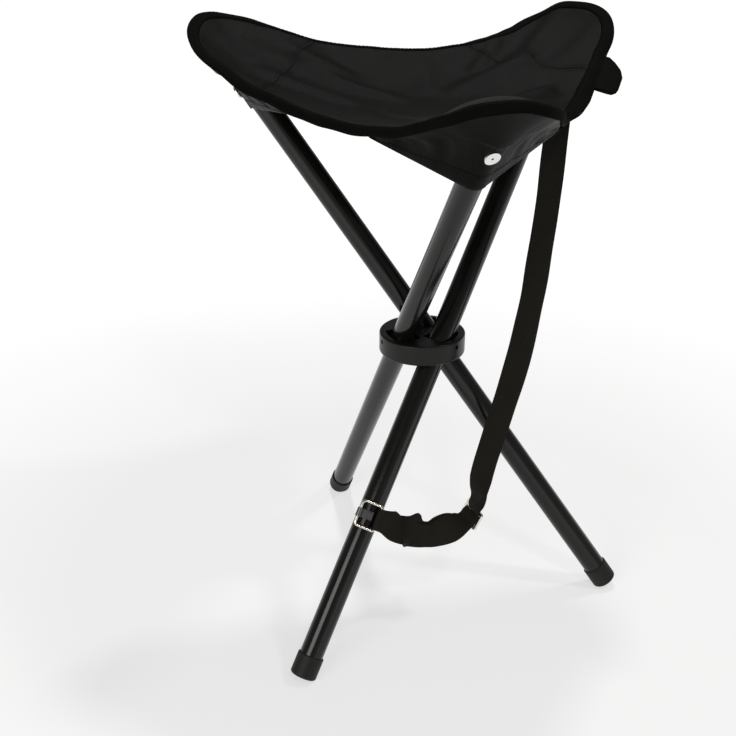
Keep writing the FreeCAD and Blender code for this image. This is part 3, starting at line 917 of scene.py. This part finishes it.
def make_tab():
    """Folded webbing end sewn into lobe b's edge."""
    lobe = PIVOT["b"] + LOBE_TURN
    azimuth = np.linspace(lobe + TAB_TURN[0], lobe + TAB_TURN[1], 28)
    root = rim_strip(azimuth, np.full_like(azimuth, 8.0), np.full_like(azimuth, -0.8))
    along = unit(np.gradient(root, axis=0))
    out = np.broadcast_to(unit(np.array(TAB_OUT)), root.shape)
    face = unit(np.cross(out, along))
    taper = np.interp(np.linspace(0, 1, len(azimuth)), TAB_SHARE, TAB_TAPER)
    section = [root + out * (r * taper)[:, None] + face * h for r, h in TAB_FOLD]
    points, faces = swept(np.stack(section, axis=1))
    run = np.linspace(0, STRAP_W, len(azimuth))
    side = np.cumsum([0] + [math.dist(a, b) for a, b in zip(TAB_FOLD, TAB_FOLD[1:])])
    # Painted shade: the tab's much darker webbing colour stands for the shade under lobe b.
    piece = build("strap_tab_webbing", points, faces, TAB_PAINTED_SHADE, cut_map(side[None], run[:, None]))
    bend_with(piece)
    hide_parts("strap_tab")


# Stage

def make_camera():
    data = bpy.data.cameras.new("camera")
    data.sensor_width = 36.0
    data.lens = 51.13
    camera = bpy.data.objects.new("camera", data)
    camera.location = (0.12716, -1.02836, 0.75101)
    camera.rotation_mode = "QUATERNION"
    look = Vector((-0.161757, 0.893182, -0.419597))
    camera.rotation_quaternion = look.to_track_quat("-Z", "Y") @ Quaternion((0, 0, 1), 0.0018)
    bpy.context.scene.collection.objects.link(camera)
    bpy.context.scene.camera = camera


def lamp(name, place, target, size, power):
    """Rectangular lamp that looks at a target."""
    data = bpy.data.lights.new(name, "AREA")
    data.shape = "RECTANGLE"
    data.size, data.size_y = size
    data.energy = power
    light = bpy.data.objects.new(name, data)
    light.location = place
    light.rotation_euler = (Vector(target) - Vector(place)).to_track_quat("-Z", "Y").to_euler()
    bpy.context.scene.collection.objects.link(light)


def make_floor():
    """Matt floor that keeps the stool's shadow and pales to white away from it."""
    mesh = bpy.data.meshes.new("floor")
    mesh.from_pydata([(-40, -40, 0), (40, -40, 0), (40, 40, 0), (-40, 40, 0)], [], [(0, 1, 2, 3)])
    floor = bpy.data.objects.new("floor", mesh)
    bpy.context.scene.collection.objects.link(floor)
    material = bpy.data.materials.new("floor")
    material.use_nodes = True
    tree = material.node_tree
    tree.nodes.clear()
    path = node(tree, "ShaderNodeLightPath").outputs
    mirrored = calc(tree, "MAXIMUM", path["Is Glossy Ray"], path["Is Transmission Ray"])
    seen = calc(tree, "MAXIMUM", path["Is Camera Ray"], mirrored)
    matt = node(tree, "ShaderNodeBsdfDiffuse", {"Color": (0.47, 0.47, 0.465, 1)})
    spot = node(tree, "ShaderNodeNewGeometry").outputs["Position"]
    away = node(tree, "ShaderNodeVectorMath", {0: spot}, operation="LENGTH").outputs["Value"]
    pale = node(tree, "ShaderNodeMapRange", {"Value": away, "From Min": 0.4, "From Max": 1.7,
                                             "To Min": 0.6, "To Max": 0.95})
    strength = calc(tree, "MULTIPLY", seen, pale.outputs["Result"])
    glow = node(tree, "ShaderNodeEmission", {"Color": (1, 1, 1, 1), "Strength": strength})
    both = node(tree, "ShaderNodeAddShader", {0: matt.outputs[0], 1: glow.outputs[0]})
    node(tree, "ShaderNodeOutputMaterial", {"Surface": both.outputs[0]})
    mesh.materials.append(material)


def make_world():
    """Grey surroundings, darker overhead."""
    world = bpy.data.worlds.new("studio")
    bpy.context.scene.world = world
    world.use_nodes = True
    tree = world.node_tree
    tree.nodes.clear()
    facing = node(tree, "ShaderNodeTexCoord").outputs["Generated"]
    sky = node(tree, "ShaderNodeSeparateXYZ", {"Vector": facing})
    high = node(tree, "ShaderNodeMapRange", {"Value": sky.outputs["Z"], "From Min": 0.0, "From Max": 0.5,
                                             "To Min": 0.4, "To Max": 0.12})
    shade = node(tree, "ShaderNodeBackground", {"Color": (1, 1, 1, 1), "Strength": high.outputs["Result"]})
    node(tree, "ShaderNodeOutputWorld", {"Surface": shade.outputs[0]})


def make_lamps():
    lamp("back", (0.0, 0.82, 2.5), (0, 0, 0.2), (0.2, 0.2), 16)
    lamp("right", (1.3, -0.05, 2.35), (0, 0, 0.2), (0.2, 0.2), 9)
    lamp("front", (0.75, -1.53, 2.26), (0, 0, 0.3), (0.25, 0.25), 7)
    lamp("fill", (-0.9, -2.1, 1.0), (0, 0, 0.45), (1.3, 0.9), 17)


dress_solids()
make_camera()
make_strap()
make_seat()
make_binding()
make_seams()
make_pockets()
make_tab()
make_floor()
make_world()
make_lamps()
bpy.context.scene.view_settings.view_transform = "Standard"
